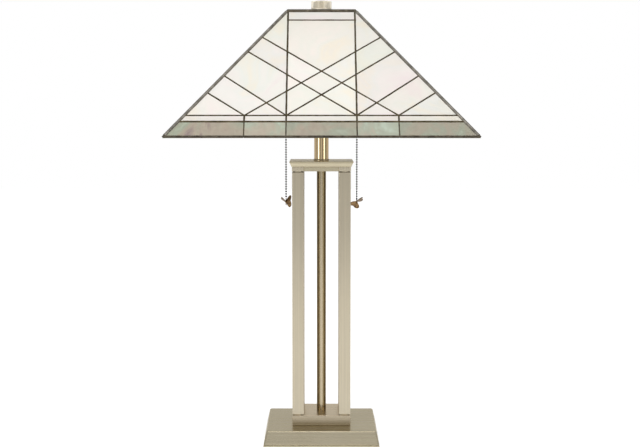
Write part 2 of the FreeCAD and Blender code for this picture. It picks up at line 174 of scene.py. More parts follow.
def squareStack(levels, bevel, segments, hipBevel):  # levels are (half width, height) pairs, bottom first
    bm = bmesh.new()
    half, height = levels[0]
    place = Matrix.Translation((0, 0, height))
    bmesh.ops.create_grid(bm, x_segments=1, y_segments=1, size=half, matrix=place)
    top = bm.faces[:][0]
    bmesh.ops.duplicate(bm, geom=[top])  # the copy stays as the bottom
    for half, height in levels[1:]:
        made = bmesh.ops.extrude_face_region(bm, geom=[top])["geom"]
        bmesh.ops.delete(bm, geom=[top], context="FACES_ONLY")
        top = [g for g in made if isinstance(g, bmesh.types.BMFace)][0]
        grow = half / max(abs(v.co.x) for v in top.verts)
        for vert in top.verts:
            vert.co = Vector((vert.co.x * grow, vert.co.y * grow, height))
    bmesh.ops.remove_doubles(bm, verts=bm.verts, dist=1e-6)
    bmesh.ops.recalc_face_normals(bm, faces=bm.faces)
    hips = [e for e in bm.edges if abs(e.verts[0].co.z - e.verts[1].co.z) > 1e-5]
    bevelEdges(bm, hips, hipBevel, 1)  # the slanting corners first, then every edge that is still sharp
    bevelEdges(bm, [e for e in bm.edges if e.calc_face_angle(0) > 1.0], bevel, segments)
    return bm


def lathe(outline, steps=64, closed=True):  # (radius, height) pairs; an open outline ends on the axis
    bm = bmesh.new()
    points = [bm.verts.new((radius, 0, height)) for radius, height in outline]
    edges = [bm.edges.new(pair) for pair in zip(points, points[1:])]
    if closed:
        edges.append(bm.edges.new((points[-1], points[0])))
    bmesh.ops.spin(bm, geom=points + edges, cent=(0, 0, 0), axis=(0, 0, 1), angle=2 * math.pi,
                   steps=steps, use_merge=True)
    bmesh.ops.remove_doubles(bm, verts=bm.verts, dist=1e-7)
    bmesh.ops.recalc_face_normals(bm, faces=bm.faces)
    return bm


def addMesh(bm, other, place=Matrix()):
    carrier = bpy.data.meshes.new("carrier")
    other.to_mesh(carrier)
    other.free()
    carrier.transform(place)
    bm.from_mesh(carrier)
    bpy.data.meshes.remove(carrier)


def placedPiece(name, bm, place, material, body, node):  # a turned piece that lies along another axis
    whole = bmesh.new()
    addMesh(whole, bm, place)
    bmesh.ops.recalc_face_normals(whole, faces=whole.faces)
    finishPiece(name, whole, material, body, [node])


def softCorner(outer, height, radius):  # rounds the corner where an outer wall turns in at this height
    turns = [math.radians(angle) for angle in (0, 30, 60, 90)]
    return [(outer - radius + radius * math.cos(turn), height - (radius - radius * math.sin(turn)))
            for turn in turns]


# Metals

padHigh = 0.0010  # the pads at the uprights' ends
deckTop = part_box("upright_left")[0].z - padHigh
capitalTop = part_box("capital_plate")[1].z


def paintedTopHighlight(top, depth, share):  # painted highlight: lightens a piece's level top, below which the metal keeps its colour
    return (top - depth, 1.0, top - 0.0002, share)


upAndDown = (700, 700, 5)  # brushed along the height
across = (5, 650, 650)  # brushed along the width
metals = {
    # painted shade: the uprights darken towards their tops, under the shade
    "uprightNickel": {"colour": tone(208, 198, 176), "rough": 0.33, "grain": upAndDown, "lines": 0.04,
                      "paintedLightByHeight": (0.20, 1.02, 0.31, 0.86)},
    "baseNickel": {"colour": tone(204, 194, 168), "rough": 0.25, "grain": across, "lines": 0.05},
    # painted highlight on the capital's level top
    "capitalNickel": {"colour": tone(204, 194, 168), "rough": 0.25, "grain": across, "lines": 0.05,
                      "paintedLightByHeight": paintedTopHighlight(capitalTop, 0.0006, 1.6)},
    "blockNickel": {"colour": tone(208, 198, 176), "rough": 0.28, "grain": upAndDown, "lines": 0.04},
    # painted highlight on the pedestal's deck top
    "pedestalNickel": {"colour": tone(188, 176, 154), "rough": 0.28, "grain": across, "lines": 0.05,
                       "paintedLightByHeight": paintedTopHighlight(deckTop, 0.0007, 1.70)},
    "tubeNickel": {"colour": tone(194, 181, 154), "rough": 0.19, "grain": (500, 500, 4), "lines": 0.004},
    "neckNickel": {"colour": tone(220, 196, 154), "rough": 0.07, "grain": (400, 400, 4), "lines": 0.001},
    "finialNickel": {"colour": tone(242, 235, 219), "rough": 0.50, "grain": (300, 300, 300), "lines": 0.02},
    "lampBrass": {"colour": tone(196, 166, 104), "rough": 0.24, "grain": (240, 240, 240), "lines": 0.02},
    "zincSteel": {"colour": tone(196, 194, 184), "rough": 0.34, "grain": (260, 260, 260), "lines": 0.03},
    "capAluminium": {"colour": tone(214, 214, 212), "rough": 0.28, "grain": (260, 260, 260), "lines": 0.02},
}
wear = {"darker": 0.90, "lighter": 1.05, "smoother": 0.86, "rougher": 1.18, "cloud": (11, 11, 7),
        "stain": (0.95, 0.94, 0.92, 1), "groove": 0.0002}


def makeMetal(name, finish):
    material, tree, shader = newMaterial(name)
    colour = finish["colour"]
    setSockets(shader, metallic=1.0, edgeTint=tuple((1 + c) / 2 for c in colour))
    grain = noiseOn(tree, finish["grain"], 4)
    cloud = noiseOn(tree, wear["cloud"], 2)
    darker = tuple(c * wear["darker"] for c in colour[:3]) + (1.0,)
    lighter = tuple(min(1.0, c * wear["lighter"]) for c in colour[:3]) + (1.0,)
    brushed = twoTones(tree, grain, darker, lighter)
    aged = twoTones(tree, cloud, wear["stain"], (1, 1, 1, 1))
    worn = mixColours(tree, 1.0, brushed, aged, "MULTIPLY")
    if "paintedLightByHeight" in finish:  # painted shade or painted highlight by height: two heights, each followed by its share of the colour
        place = tree.nodes.new("ShaderNodeTexCoord")
        split = tree.nodes.new("ShaderNodeSeparateXYZ")
        tree.links.new(place.outputs["Object"], split.inputs[0])
        low, lowShare, high, highShare = finish["paintedLightByHeight"]
        paintedLight = rangeOn(tree, split.outputs["Z"], lowShare, highShare, low, high)
        worn = mixColours(tree, 1.0, worn, paintedLight, "MULTIPLY")
    rough = finish["rough"]
    dress(tree, shader, worn, rangeOn(tree, grain, rough * wear["smoother"], rough * wear["rougher"]))
    bumpOn(tree, shader, grain, finish["lines"] * 4, wear["groove"])
    return material


metal = {name: makeMetal(name, finish) for name, finish in metals.items()}


patina = {"metallic": 0.75, "swirl": 0.6, "edges": (0.35, 0.68), "spread": 0.08, "bump": 0.25, "deep": 0.0003}


def makeAgedMetal(name, dark, light, rough, grain):  # patina on solder, cames, chains and charms
    material, tree, shader = newMaterial(name)
    setSockets(shader, metallic=patina["metallic"])
    cloud = noiseOn(tree, (grain, grain, grain), 5, patina["swirl"])
    colour = rampOn(tree, cloud, list(zip(patina["edges"], (dark, light))))
    dress(tree, shader, colour, rangeOn(tree, cloud, rough + patina["spread"], rough - patina["spread"]))
    bumpOn(tree, shader, cloud, patina["bump"], patina["deep"])
    return material


solder = makeAgedMetal("agedSolder", tone(62, 54, 38), tone(92, 82, 60), 0.50, 160)
hipCame = makeAgedMetal("greyCame", tone(98, 94, 86), tone(128, 123, 114), 0.42, 140)
rimCame = makeAgedMetal("darkCame", tone(58, 52, 42), tone(88, 81, 68), 0.44, 140)
bronze = makeAgedMetal("darkBronze", tone(92, 70, 46), tone(160, 128, 86), 0.38, 420)
chainMetal = makeAgedMetal("chainBronze", tone(18, 15, 13), tone(36, 30, 25), 0.55, 600)
setSockets(chainMetal.node_tree.nodes["Principled BSDF"], metallic=0.2, specular=0.2)


def makePlain(name, dark, light, rough, grain, depth, spread=0.06):  # moulded, cast and felted finishes
    material, tree, shader = newMaterial(name)
    cloud = noiseOn(tree, (grain, grain, grain), 6)
    dress(tree, shader, twoTones(tree, cloud, dark, light),
          rangeOn(tree, cloud, rough - spread, rough + spread))
    bumpOn(tree, shader, cloud, 0.5, depth)
    return material


blackPlastic = makePlain("blackPlastic", tone(20, 20, 20), tone(34, 33, 32), 0.45, 700, 0.0001)
castIron = makePlain("castIron", tone(44, 43, 42), tone(70, 68, 66), 0.75, 260, 0.0006)
greenFelt = makePlain("greenFelt", tone(38, 60, 44), tone(66, 92, 70), 0.92, 1300, 0.0005)
setSockets(greenFelt.node_tree.nodes["Principled BSDF"], sheen=0.5)


# Glass: each kind's colours with where they start in its noise, its noise, gloss and ripple

glassLook = {
    "opal": {
        "colours": [(0.30, tone(255, 240, 243)), (0.42, tone(255, 251, 247)), (0.52, tone(246, 250, 244)),
                    (0.62, tone(255, 248, 226)), (0.74, tone(238, 242, 252))],
        "cloud": ((15, 15, 15), 3, 0.9), "wisps": ((60, 60, 24), 4, 2.0), "gloss": (0.12, 0.26),
        "ripple": ((85, 85, 85), 2, 0.8), "bump": (0.30, 0.0007), "coat": 0.25, "coatRoughness": 0.06},
    "mottled": {
        "colours": [(0.32, tone(148, 122, 118)), (0.40, tone(180, 166, 146)), (0.52, tone(176, 172, 150)),
                    (0.62, tone(166, 178, 156)), (0.76, tone(188, 210, 192))],
        "cloud": ((24, 24, 8), 3, 0.8), "wisps": ((110, 110, 20), 2, 0.5), "gloss": (0.19, 0.23),
        "ripple": ((70, 70, 40), 1, 0.3), "bump": (0.03, 0.0005), "coat": 0.2, "coatRoughness": 0.08,
        "veins": ((0.88, 0.86, 0.84, 1), (1.0, 1.0, 1.0, 1))},
}


def startGlass(name, look):  # gives the panes' tint with its painted side shade, and the cloudy colours, still to be mixed
    material, tree, shader = newMaterial(name)
    setSockets(shader, ior=1.5, coat=look["coat"], coatRoughness=look["coatRoughness"])
    tintAndShade = tree.nodes.new("ShaderNodeAttribute")
    tintAndShade.attribute_name = "tintAndShade"
    clouds = rampOn(tree, noiseOn(tree, *look["cloud"]), look["colours"])
    wisps = noiseOn(tree, *look["wisps"])
    tree.links.new(rangeOn(tree, wisps, *look["gloss"]), shader.inputs["Roughness"])
    bumpOn(tree, shader, noiseOn(tree, *look["ripple"]), *look["bump"])
    return material, tree, shader, tintAndShade.outputs["Color"], clouds, wisps


def makeOpalGlass(name, flush):  # flush is how much of the clouds shows over the tint
    material, tree, shader, tintAndShade, clouds, _ = startGlass(name, glassLook["opal"])
    tree.links.new(mixColours(tree, flush, tintAndShade, clouds, "MULTIPLY"), shader.inputs["Base Color"])
    return material


def makeMottledGlass():
    material, tree, shader, tintAndShade, clouds, wisps = startGlass("mottledGlass", glassLook["mottled"])
    ground = mixColours(tree, 1.0, clouds, tintAndShade, "MULTIPLY")
    veins = twoTones(tree, wisps, *glassLook["mottled"]["veins"])
    tree.links.new(mixColours(tree, 1.0, ground, veins, "MULTIPLY"), shader.inputs["Base Color"])
    return material


def makeFrostedBulb():
    material, tree, shader = newMaterial("frostedBulb")
    setSockets(shader, ior=1.5, subsurface=0.2, subsurfaceScale=0.004)
    frost = noiseOn(tree, (1600, 1600, 1600), 2)
    white = twoTones(tree, frost, tone(236, 236, 230), tone(246, 246, 242))
    dress(tree, shader, white, rangeOn(tree, frost, 0.28, 0.42))
    return material


opalGlass = makeOpalGlass("opalGlass", 0.55)
stripGlass = makeOpalGlass("stripGlass", 0.4)
mottledGlass = makeMottledGlass()
frostedBulb = makeFrostedBulb()
print("materials made")


# Base: felt, plinth with its cord inlet, sloping skirt

baseLook = {"bevel": 0.0007, "skirtBevel": 0.0015, "hipBevel": 0.0022, "feltBevel": 0.0005, "boreSteps": 40,
            "skirtLean": 0.0044}
inletLook = {"boreShare": 0.593, "bodyShare": 0.85, "softRim": 0.0003}  # shares of the flange's radius


def boreBack(bm, centre, radius, depth):  # a blind round hole in the flat back face
    back = max((f for f in bm.faces if f.normal.y > 0.99), key=lambda f: f.calc_area())
    rim = list(back.edges)
    at = Vector((centre.x, back.calc_center_median().y, centre.z))
    bmesh.ops.delete(bm, geom=[back], context="FACES_ONLY")
    turn = Matrix.Translation(at) @ Matrix.Rotation(math.radians(90), 4, "X")
    ring = bmesh.ops.create_circle(bm, cap_ends=False, radius=radius, segments=baseLook["boreSteps"],
                                   matrix=turn)
    circle = edgesOf(ring["verts"])
    bmesh.ops.triangle_fill(bm, use_beauty=True, edges=rim + circle)
    walls = bmesh.ops.extrude_edge_only(bm, edges=circle)["geom"]
    deep = [g for g in walls if isinstance(g, bmesh.types.BMVert)]
    bmesh.ops.translate(bm, verts=deep, vec=(0, -depth, 0))
    bmesh.ops.contextual_create(bm, geom=[g for g in walls if isinstance(g, bmesh.types.BMEdge)])
    bmesh.ops.recalc_face_normals(bm, faces=bm.faces)


def makeBase():
    bm = bmesh.new()
    addBlock(bm, *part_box("felt_pad"), baseLook["feltBevel"], 2)
    finishPiece("feltPad", bm, greenFelt, "root", ["felt_pad"])

    inletLow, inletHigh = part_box("cord_bushing")
    inlet = (inletLow + inletHigh) / 2
    flange = (inletHigh.x - inletLow.x) / 2
    bm = bmesh.new()
    addBlock(bm, *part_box("base_plinth"), baseLook["bevel"])
    boreBack(bm, inlet, flange * inletLook["bodyShare"], inletHigh.y - inletLow.y)
    finishPiece("basePlinth", bm, metal["baseNickel"], "root", ["base_plinth"])

    low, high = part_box("base_skirt")
    levels = [(high.x, low.z), (high.x - baseLook["skirtLean"], high.z)]
    bm = squareStack(levels, baseLook["skirtBevel"], 3, baseLook["hipBevel"])
    finishPiece("baseSkirt", bm, metal["baseNickel"], "root", ["base_skirt"])

    long = inletHigh.y - inletLow.y
    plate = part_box("base_plinth")[1].y - inletLow.y
    bore, body, soft = flange * inletLook["boreShare"], flange * inletLook["bodyShare"], inletLook["softRim"]
    outline = [(bore, 0), (body, 0), (body, plate), (flange, plate), (flange, long - soft),
               (flange - 0.0004, long), (bore + soft * 2, long), (bore, long - soft * 2)]
    place = Matrix.Translation((inlet.x, inletLow.y, inlet.z)) @ Matrix.Rotation(math.radians(-90), 4, "X")
    placedPiece("cordBushing", lathe(outline, baseLook["boreSteps"]), place, blackPlastic, "root",
                "cord_bushing")


# Column: pedestal, two flat tubes, centre tube, cap blocks, cross rail, capital

columnLook = {"pedestalBevel": 0.0009, "uprightBevel": 0.0007, "blockBevel": 0.0005, "padInset": 0.0040,
              "padBevel": 0.0001, "padInPiece": 0.0002, "padInTube": 0.0005, "capitalFoot": 0.0420,
              "capitalLip": 0.0023, "capitalLipOver": 0.0008, "capitalBevel": 0.0004}


def addReveal(bm, upright, bottom, top):  # the narrow pad that leaves a shadow line at an upright's end
    low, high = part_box(upright)
    inset = columnLook["padInset"]
    addBlock(bm, (low.x + inset, low.y + inset, bottom), (high.x - inset, high.y - inset, top),
             columnLook["padBevel"], 1)


def makeColumn():
    look = columnLook
    uprights = {"Left": "upright_left", "Right": "upright_right"}
    bm = bmesh.new()
    low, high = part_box("pedestal_block")
    uprightFoot, uprightHead = (corner.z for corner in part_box("upright_left"))
    addBlock(bm, low, (high.x, high.y, deckTop), look["pedestalBevel"])
    for node in uprights.values():
        addReveal(bm, node, deckTop - look["padInPiece"], uprightFoot + look["padInTube"])
    finishPiece("pedestalBlock", bm, metal["pedestalNickel"], "root", ["pedestal_block"])

    for side, node in uprights.items():
        bm = bmesh.new()
        addBlock(bm, *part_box(node), look["uprightBevel"])
        finishPiece("upright" + side, bm, metal["uprightNickel"], "root", [node])

    blocksLow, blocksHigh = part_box("cap_blocks")
    railLow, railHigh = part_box("cross_rail")
    bm = bmesh.new()
    for x0, x1 in ((blocksLow.x, railLow.x), (railHigh.x, blocksHigh.x)):
        addBlock(bm, (x0, blocksLow.y, railLow.z), (x1, blocksHigh.y, blocksHigh.z), look["blockBevel"])
    for node in uprights.values():
        addReveal(bm, node, uprightHead - look["padInTube"], railLow.z + look["padInPiece"])
    finishPiece("capBlocks", bm, metal["blockNickel"], "root", ["cap_blocks"])
    bm = bmesh.new()
    addBlock(bm, railLow, railHigh, look["blockBevel"])
    finishPiece("crossRail", bm, metal["baseNickel"], "root", ["cross_rail"])

    low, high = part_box("capital_plate")
    lipZ = high.z - look["capitalLip"]
    levels = [(look["capitalFoot"], low.z), (high.x - look["capitalLipOver"], lipZ), (high.x, lipZ + 0.0001),
              (high.x, high.z)]
    bm = squareStack(levels, look["capitalBevel"], 2, look["capitalBevel"])
    finishPiece("capitalPlate", bm, metal["capitalNickel"], "root", ["capital_plate"])


# Round tubes: centre tube, neck tube, and the ring at the neck's foot

tubeLook = {"centreWall": 0.0012, "neckWall": 0.0010, "corner": 0.0002, "ringWall": 0.0009}


def tubeOutline(node, wall):
    low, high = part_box(node)
    outer, inner = high.x, high.x - wall
    rounded = softCorner(outer, high.z, tubeLook["corner"])
    foot = [(radius, low.z + high.z - height) for radius, height in reversed(rounded)]
    return [(inner, low.z)] + foot + rounded + [(inner, high.z)]


def makeTubes():
    bm = lathe(tubeOutline("centre_tube", tubeLook["centreWall"]), 96)
    finishPiece("centreTube", bm, metal["tubeNickel"], "root", ["centre_tube"])
    bm = lathe(tubeOutline("neck_tube", tubeLook["neckWall"]), 128)
    finishPiece("neckTube", bm, metal["neckNickel"], "root", ["neck_tube"])
    low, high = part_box("neck_ring")
    inner, ringHigh = high.x - tubeLook["ringWall"], high.z - low.z
    outline = [(inner, low.z), (high.x, low.z), (high.x, low.z + ringHigh * 0.45),
               (high.x - 0.0003, low.z + ringHigh * 0.75), (high.x - 0.0006, high.z), (inner, high.z)]
    finishPiece("neckRing", lathe(outline, 96), metal["tubeNickel"], "root", ["neck_ring"])


# Lamp holders: cluster, caps, shells, switch mouths, bulbs

holderLook = {"clusterBore": 0.0050, "clusterTopBore": 0.0034, "bead": 0.0007, "capBore": 0.0049,
              "wall": 0.0008, "shellInset": 0.0002, "beadFromEnd": 0.0030, "mouthNeck": 0.0015,
              "mouthWall": 0.0010}
bulbLook = {"meet": 35, "steps": 22, "threadRings": 5, "threadDeep": 0.0006, "contact": 0.0035}


def armPlace(side):  # lays a piece turned about +Z on the holder's axis
    axisZ = sum(corner.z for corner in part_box("socket_cap_left")) / 2
    return Matrix.Translation((0, 0, axisZ)) @ Matrix.Rotation(math.radians(90 * side), 4, "Y")


def bulbOutline(start, end, neck, radius):
    centre = end - radius
    meet = math.radians(bulbLook["meet"])  # where the globe runs into the neck, below its widest
    steps = bulbLook["steps"]
    outline = [(0, start), (neck * 0.96, start), (neck, start + 0.0010), (neck, start + 0.0040)]
    for i in range(steps):
        turn = -meet + (math.pi / 2 + meet) * i / steps
        outline.append((radius * math.cos(turn), centre + radius * math.sin(turn)))
    return outline + [(0, end)]


def threadOutline(start, end, radius):  # rolled thread as rings, a contact at the tip
    rings, deep, contact = bulbLook["threadRings"], bulbLook["threadDeep"], bulbLook["contact"]
    outline = [(0, start), (contact, start), (contact + 0.0010, start + 0.0006),
               (radius - 0.0035, start + 0.0034), (radius - 0.0012, start + 0.0042)]
    first, last = start + 0.0050, end - 0.0040
    for i in range(rings * 4 + 1):
        share = i / (rings * 4)
        outline.append((radius - deep - deep * math.cos(2 * math.pi * rings * share),
                        first + (last - first) * share))
    return outline + [(radius - deep, end), (0, end)]


def makeCluster():
    look = holderLook
    low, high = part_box("cluster_body")
    wide, side = high.x, high.x - look["bead"]
    outline = [(look["clusterBore"], low.z), (wide * 0.70, low.z), (wide * 0.86, low.z + 0.0012),
               (wide, low.z + 0.0040), (wide, low.z + 0.0050), (side, low.z + 0.0056),
               (side, high.z - 0.0056), (wide, high.z - 0.0050), (wide, high.z - 0.0040),
               (wide * 0.86, high.z - 0.0012), (wide * 0.70, high.z), (look["clusterTopBore"], high.z)]
    finishPiece("clusterBody", lathe(outline, 72), metal["lampBrass"], "root", ["cluster_body"])


def reach(node):  # where a piece on the holder's axis starts and ends, from the lamp's middle
    return sorted(abs(corner.x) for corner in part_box(node))


def makeHolder(side, word):
    look = holderLook
    place = armPlace(side)
    start, end = reach("socket_cap_" + word)
    low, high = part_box("socket_shell_" + word)
    radius = (high.y - low.y) / 2
    axisZ = (high.z + low.z) / 2
    inner, bore = radius - look["wall"], look["capBore"]
    cap = [(bore, start), (0.0078, start), (0.0086, start + 0.0008), (radius - 0.0035, start + 0.0050),
           (radius - 0.0012, end - 0.0056), (radius, end - 0.0040), (radius, end - 0.0002),
           (inner, end), (inner, end - 0.0030), (radius - 0.0050, start + 0.0066), (bore, start + 0.0030)]
    placedPiece("socketCap_" + word, lathe(cap), place, metal["lampBrass"], "root", "socket_cap_" + word)
    start, end = reach("socket_shell_" + word)
    bead, outer = end - look["beadFromEnd"], radius - look["shellInset"]
    shell = [(inner, start), (outer, start), (outer, bead - 0.0012), (radius, bead - 0.0006),
             (radius, bead + 0.0006), (outer, bead + 0.0012), (outer, end), (inner, end)]
    placedPiece("socketShell_" + word, lathe(shell), place, metal["lampBrass"], "root",
                "socket_shell_" + word)
    start, end = reach("bulb_cap_" + word)
    low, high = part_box("bulb_cap_" + word)
    thread = (high.y - low.y) / 2
    bm = lathe(threadOutline(start, end, thread), 48, False)
    placedPiece("bulbCap_" + word, bm, place, metal["capAluminium"], word + "_bulb", "bulb_cap_" + word)
    start, end = reach("bulb_" + word)
    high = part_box("bulb_" + word)[1]
    globe = max(high.y, high.z - axisZ)
    bm = lathe(bulbOutline(start, end, thread - bulbLook["threadDeep"], globe), 64, False)
    placedPiece("frostedBulb" + word.title(), bm, place, frostedBulb, word + "_bulb", "bulb_" + word)


def makeMouth(word):  # the trumpet that the ball chain runs out of
    low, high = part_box("switch_mouth_" + word)
    middle = (low + high) / 2
    flare = (high.x - low.x) / 2
    neck = flare - holderLook["mouthNeck"]
    bore = neck - holderLook["mouthWall"]
    outline = [(bore, high.z), (neck, high.z), (neck, low.z + 0.0030), (neck + 0.0004, low.z + 0.0018),
               (flare - 0.0003, low.z + 0.0007), (flare, low.z + 0.0004), (flare - 0.0003, low.z),
               (bore + 0.0011, low.z), (bore, low.z + 0.0014)]
    placedPiece("switchMouth_" + word, lathe(outline, 40), Matrix.Translation((middle.x, middle.y, 0)),
                metal["lampBrass"], "root", "switch_mouth_" + word)


def makeHolders():
    makeCluster()
    for side, word in ((-1, "left"), (1, "right")):
        makeHolder(side, word)
        makeMouth(word)


# Ball chains and charms

chainLook = {"ball": 0.00130, "pitch": 0.0035, "link": 0.00020, "firstGap": 0.00015}


def addLink(bm, x, bottom, top):
    bmesh.ops.create_cone(bm, cap_ends=True, segments=6, radius1=chainLook["link"], radius2=chainLook["link"],
                          depth=top - bottom, matrix=Matrix.Translation((x, 0, (top + bottom) / 2)))


def addBalls(bm, x, first, count, step, linkEnd):
    for i in range(count):
        bmesh.ops.create_uvsphere(bm, u_segments=12, v_segments=8, radius=chainLook["ball"],
                                  matrix=Matrix.Translation((x, 0, first + step * i)))
    addLink(bm, x, *sorted((first + step * (count - 1), linkEnd)))


def makeChains():
    pitch, ball = chainLook["pitch"], chainLook["ball"]
    for word in ("left", "right"):
        low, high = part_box("pull_chain_" + word)
        x = (low.x + high.x) / 2
        bm = bmesh.new()
        firstPull = high.z - ball
        addBalls(bm, x, firstPull, round((firstPull - low.z) / pitch), -pitch, low.z)
        finishPiece("pullChain_" + word, bm, chainMetal, word + "_pull", ["pull_chain_" + word])
        low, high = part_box("hang_chain_" + word)
        bm = bmesh.new()
        firstHang = high.z - pitch / 2 + chainLook["firstGap"]
        addBalls(bm, x, firstHang, int((firstHang - low.z) / pitch) + 1, -pitch, high.z)
        addLink(bm, x, low.z, firstHang)
        finishPiece("hangChain_" + word, bm, chainMetal, word + "_hang", ["hang_chain_" + word])


charmLook = {"wingLong": 0.0112, "wingHigh": 0.0092, "thick": 0.0009, "relief": 0.0002, "rim": 0.0009,
             "body": 0.0017, "bodyHigh": 0.0110, "bodySteps": 12, "root": {"left": 0.0062, "right": 0.0036}}
wingPoses = {  # lift, swing and twist of each charm's wings in degrees, the left wing first
    "left": [(42, 8, 78), (14, 38, -6)],
    "right": [(-56, 18, 18), (24, 8, 70)],
}
wingOutline = [  # from the root outwards, as shares of a wing's length and height
    (0.02, 0.16), (0.30, 0.52), (0.62, 0.82), (0.86, 0.94), (1.00, 0.86), (0.98, 0.60), (0.86, 0.32),
    (0.74, 0.08), (0.80, -0.16), (0.80, -0.46), (0.66, -0.76), (0.44, -0.90), (0.24, -0.70), (0.06, -0.24),
]


def addWing(bm, place):  # one flat wing with a raised rim, its root on the charm's axis
    look = charmLook
    wing = bmesh.new()
    corners = [wing.verts.new((x * look["wingLong"], -look["thick"] / 2, up * look["wingHigh"]))
               for x, up in wingOutline]
    front = wing.faces.new(corners)
    grown = bmesh.ops.extrude_face_region(wing, geom=[front], use_keep_orig=True)["geom"]
    back = [g for g in grown if isinstance(g, bmesh.types.BMFace) and len(g.verts) == len(corners)][0]
    bmesh.ops.translate(wing, verts=back.verts[:], vec=(0, look["thick"], 0))
    for plate, sink in ((front, look["relief"]), (back, -look["relief"])):
        bmesh.ops.inset_region(wing, faces=[plate], thickness=look["rim"])
        bmesh.ops.translate(wing, verts=plate.verts[:], vec=(0, sink, 0))
    bmesh.ops.recalc_face_normals(wing, faces=wing.faces)
    addMesh(bm, wing, place)


def makeCharms():
    look = charmLook
    steps = look["bodySteps"]
    for word in ("left", "right"):
        chainLow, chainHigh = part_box("hang_chain_" + word)
        x = (chainLow.x + chainHigh.x) / 2
        top = chainLow.z
        middle = top - look["root"][word]
        bm = bmesh.new()
        for hand, pose in zip((-1, 1), wingPoses[word]):
            lift, swing, twist = (math.radians(angle) for angle in pose)
            turn = (Matrix.Rotation(-hand * lift, 4, "Y") @ Matrix.Rotation(-hand * swing, 4, "Z")
                    @ Matrix.Rotation(twist, 4, "X"))
            addWing(bm, Matrix.Translation((x, 0, middle)) @ turn @ Matrix.Diagonal((hand, 1, 1, 1)))
        outline = [(0, top - look["bodyHigh"])]
        for i in range(1, steps):
            share = i / steps
            swell = math.sin(math.pi * share) ** 0.6 * (0.72 + 0.28 * math.cos(4 * math.pi * share))
            outline.append((look["body"] * swell, top - look["bodyHigh"] * (1 - share)))
        outline.append((0, top))
        addMesh(bm, lathe(outline, 16, False), Matrix.Translation((x, 0, 0)))
        bmesh.ops.recalc_face_normals(bm, faces=bm.faces)
        finishPiece("wingCharm" + word.title(), bm, bronze, word + "_hang", ["charm_" + word])


# Shade: panes, solder lines, cames, rims

shadeLook = {"lowHalf": 0.205, "topHalf": 0.0462, "high": 0.1722, "cameThick": 0.004, "glassThick": 0.003,
             "lineWide": 0.0034, "beadThick": 0.0046, "paneGap": 0.0007, "hipRadius": 0.0028,
             "lineShares": {"inBand": 0.68, "bandTop": 1.25},
             "lowRimHigh": 0.0021, "lowRimDeep": 0.0024, "lowRimBevel": 0.0007, "topRimHigh": 0.0061,
             "topRimBevel": 0.0009, "topRimGap": 0.0004, "rimProud": 0.0003, "linesBelowTop": 0.0015,
             "beadStep": 0.007, "jointWide": 1.35, "jointThick": 1.03, "ruffle": (140, 0.00016),
             "hipFoot": 0.0008, "hipTop": 0.0085, "hipRuffle": (90, 0.00014)}
leading = {"innerUpright": 0.0459, "outerUpright": 0.1003, "band": 0.0263, "strip": 0.0370, "head": 0.2128,
           "diagonalsOnHip": [0.1811, 0.1538, 0.1092, 0.0785]}
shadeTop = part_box("top_rim")[1].z
shadeZ = shadeTop - shadeLook["high"]
run = shadeLook["lowHalf"] - shadeLook["topHalf"]
slant = math.hypot(run, shadeLook["high"])
slopeCos, slopeSin = run / slant, shadeLook["high"] / slant
sides = ["front", "right", "back", "left"]


def panelPlace(quarter):  # from a flat panel (across, up the slope, outward) to its side of the shade
    lean = Matrix.Rotation(math.atan2(slopeSin, slopeCos), 4, "X")
    return (Matrix.Rotation(math.radians(90 * quarter), 4, "Z")
            @ Matrix.Translation((0, -shadeLook["lowHalf"], shadeZ)) @ lean)


def halfWidth(up):
    return shadeLook["lowHalf"] - slopeCos * up


def cutFaces(bm, start, end, wanted):  # cuts the wanted faces along the line through start and end
    faces = [f for f in bm.faces if wanted(f.calc_center_median())]
    edges = dict.fromkeys(e for f in faces for e in f.edges)
    verts = dict.fromkeys(v for f in faces for v in f.verts)
    normal = Vector((start[1] - end[1], end[0] - start[0], 0))
    bmesh.ops.bisect_plane(bm, geom=[*faces, *edges, *verts], dist=1e-6, plane_co=(start[0], start[1], 0),
                           plane_no=normal)


def cutPanel():  # one flat panel as a mesh whose faces are the panes and whose edges are the solder lines
    bm = bmesh.new()
    corners = [(-halfWidth(0), 0), (halfWidth(0), 0), (halfWidth(slant), slant), (-halfWidth(slant), slant)]
    bm.faces.new([bm.verts.new((x, up, 0)) for x, up in corners])
    inner, outer, strip = leading["innerUpright"], leading["outerUpright"], leading["strip"]

    def above(middle):
        return middle.y > strip

    def below(middle):
        return middle.y < strip

    def head(middle):
        return abs(middle.x) < inner and middle.y > (leading["head"] + strip) / 2

    for up in (strip, leading["band"]):
        cutFaces(bm, (-1, up), (1, up), lambda middle: True)
    feet = [outer, inner, -inner, -outer]
    for side in (-1, 1):
        for up, foot in zip(leading["diagonalsOnHip"], feet):
            cutFaces(bm, (side * halfWidth(up), up), (-side * foot, strip), above)
        cutFaces(bm, (side * inner, 0), (side * inner, slant), lambda middle: True)
        cutFaces(bm, (side * outer, 0), (side * outer, strip), below)
    cutFaces(bm, (-1, leading["head"]), (1, leading["head"]), head)
    bmesh.ops.remove_doubles(bm, verts=bm.verts, dist=1e-5)
    bmesh.ops.recalc_face_normals(bm, faces=bm.faces)
    return bm


paneTints = {"centre": tone(229, 225, 216), "wing": tone(223, 219, 213), "head": tone(225, 220, 215),
             "strip": tone(214, 209, 201), "band": tone(208, 202, 188), "bandPale": tone(230, 226, 216),
             "spread": 0.018, "paintedSideShade": 0.05}


